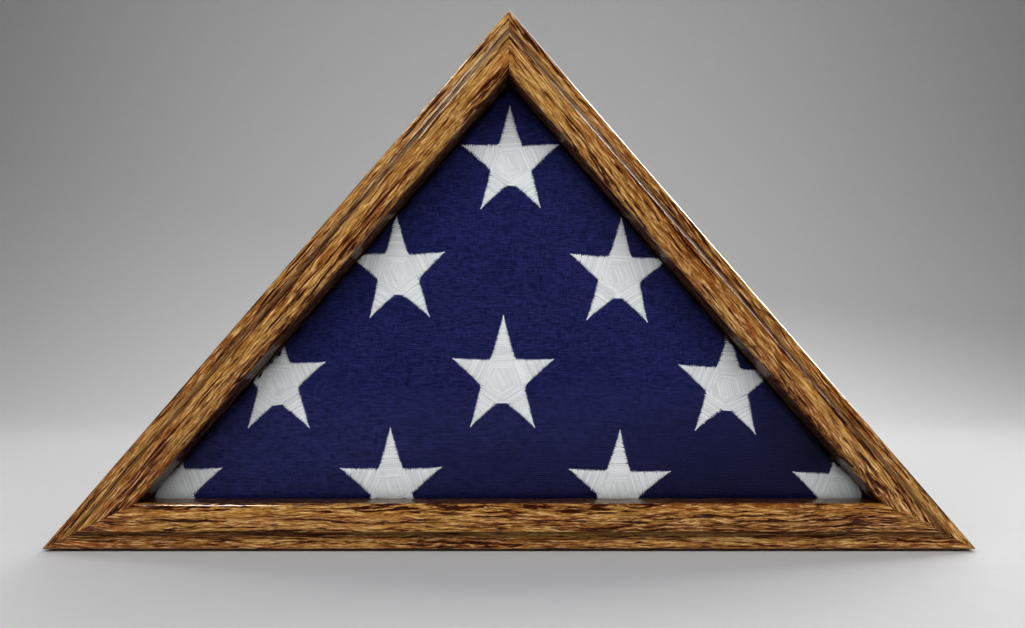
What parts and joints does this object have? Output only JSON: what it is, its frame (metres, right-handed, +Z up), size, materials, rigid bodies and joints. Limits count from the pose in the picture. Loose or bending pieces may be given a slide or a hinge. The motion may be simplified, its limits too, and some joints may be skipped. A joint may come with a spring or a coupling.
{
  "type": "folded flag display case",
  "caption": "Triangular oak display case with a moulded, glazed face frame and a folded flag inside; its back panel lifts off once the brass turn buttons are parked.",
  "frame": {"origin": "centre of the case's footprint, on the surface that it stands on", "axes": "+X to the right seen from the front, +Y from the front to the back, +Z up; the glazed face looks along -Y"},
  "size_m": [0.7196, 0.0962, 0.4173],
  "materials": {
    "oak": "golden oak stain under gloss varnish, open dark pores along the grain",
    "plywood": "bare, lightly sanded birch plywood",
    "glass": "clear float glass, polished",
    "cotton": "matt woven navy cotton",
    "star_thread": "off-white satin-stitch embroidery, soft sheen",
    "felt": "matt dark green wool felt",
    "brass": "lacquered brass, satin",
    "steel": "zinc-plated steel"
  },
  "bodies": {
    "case": {"face_rail_base": "oak", "face_rail_right": "oak", "face_rail_left": "oak", "box_board_base": "oak", "box_board_right": "oak", "box_board_left": "oak", "corner_spline_left": "oak", "corner_spline_right": "oak", "corner_spline_apex": "oak", "corner_vnail_left": "steel", "corner_vnail_right": "steel", "corner_vnail_apex": "steel", "glass_pane": "glass", "glass_stop_base": "oak", "glass_stop_right": "oak", "glass_stop_left": "oak", "stop_brad_base_1": "steel", "stop_brad_base_2": "steel", "stop_brad_right_1": "steel", "stop_brad_right_2": "steel", "stop_brad_left_1": "steel", "stop_brad_left_2": "steel", "folded_flag": "cotton", "button_screw_base_1": "brass", "button_screw_base_2": "brass", "button_screw_right_1": "brass", "button_screw_right_2": "brass", "button_screw_left_1": "brass", "button_screw_left_2": "brass", "base_felt": "felt"},
    "back_panel": {"back_panel": "plywood"},
    "turn_button_base_1": {"turn_button_base_1": "brass"},
    "turn_button_base_2": {"turn_button_base_2": "brass"},
    "turn_button_right_1": {"turn_button_right_1": "brass"},
    "turn_button_right_2": {"turn_button_right_2": "brass"},
    "turn_button_left_1": {"turn_button_left_1": "brass"},
    "turn_button_left_2": {"turn_button_left_2": "brass"}
  },
  "joints": [
    {"name": "back_panel_lift_off", "type": "slide", "parent": "case", "child": "back_panel", "axis": [0, 1, 0], "range_m": [0, 0.08]},
    {"name": "turn_base_1", "type": "hinge", "parent": "case", "child": "turn_button_base_1", "pos_m": [-0.144, 0.0452, 0.0069], "axis": [0, 1, 0], "range_deg": [0, 90]},
    {"name": "turn_base_2", "type": "hinge", "parent": "case", "child": "turn_button_base_2", "pos_m": [0.144, 0.0452, 0.0069], "axis": [0, -1, 0], "range_deg": [0, 90]},
    {"name": "turn_right_1", "type": "hinge", "parent": "case", "child": "turn_button_right_1", "pos_m": [0.24822, 0.0452, 0.1233], "axis": [0, 1, 0], "range_deg": [0, 90]},
    {"name": "turn_right_2", "type": "hinge", "parent": "case", "child": "turn_button_right_2", "pos_m": [0.10422, 0.0452, 0.28954], "axis": [0, 1, 0], "range_deg": [0, 90]},
    {"name": "turn_left_1", "type": "hinge", "parent": "case", "child": "turn_button_left_1", "pos_m": [-0.10422, 0.0452, 0.28954], "axis": [0, -1, 0], "range_deg": [0, 90]},
    {"name": "turn_left_2", "type": "hinge", "parent": "case", "child": "turn_button_left_2", "pos_m": [-0.24822, 0.0452, 0.1233], "axis": [0, -1, 0], "range_deg": [0, 90]}
  ]
}
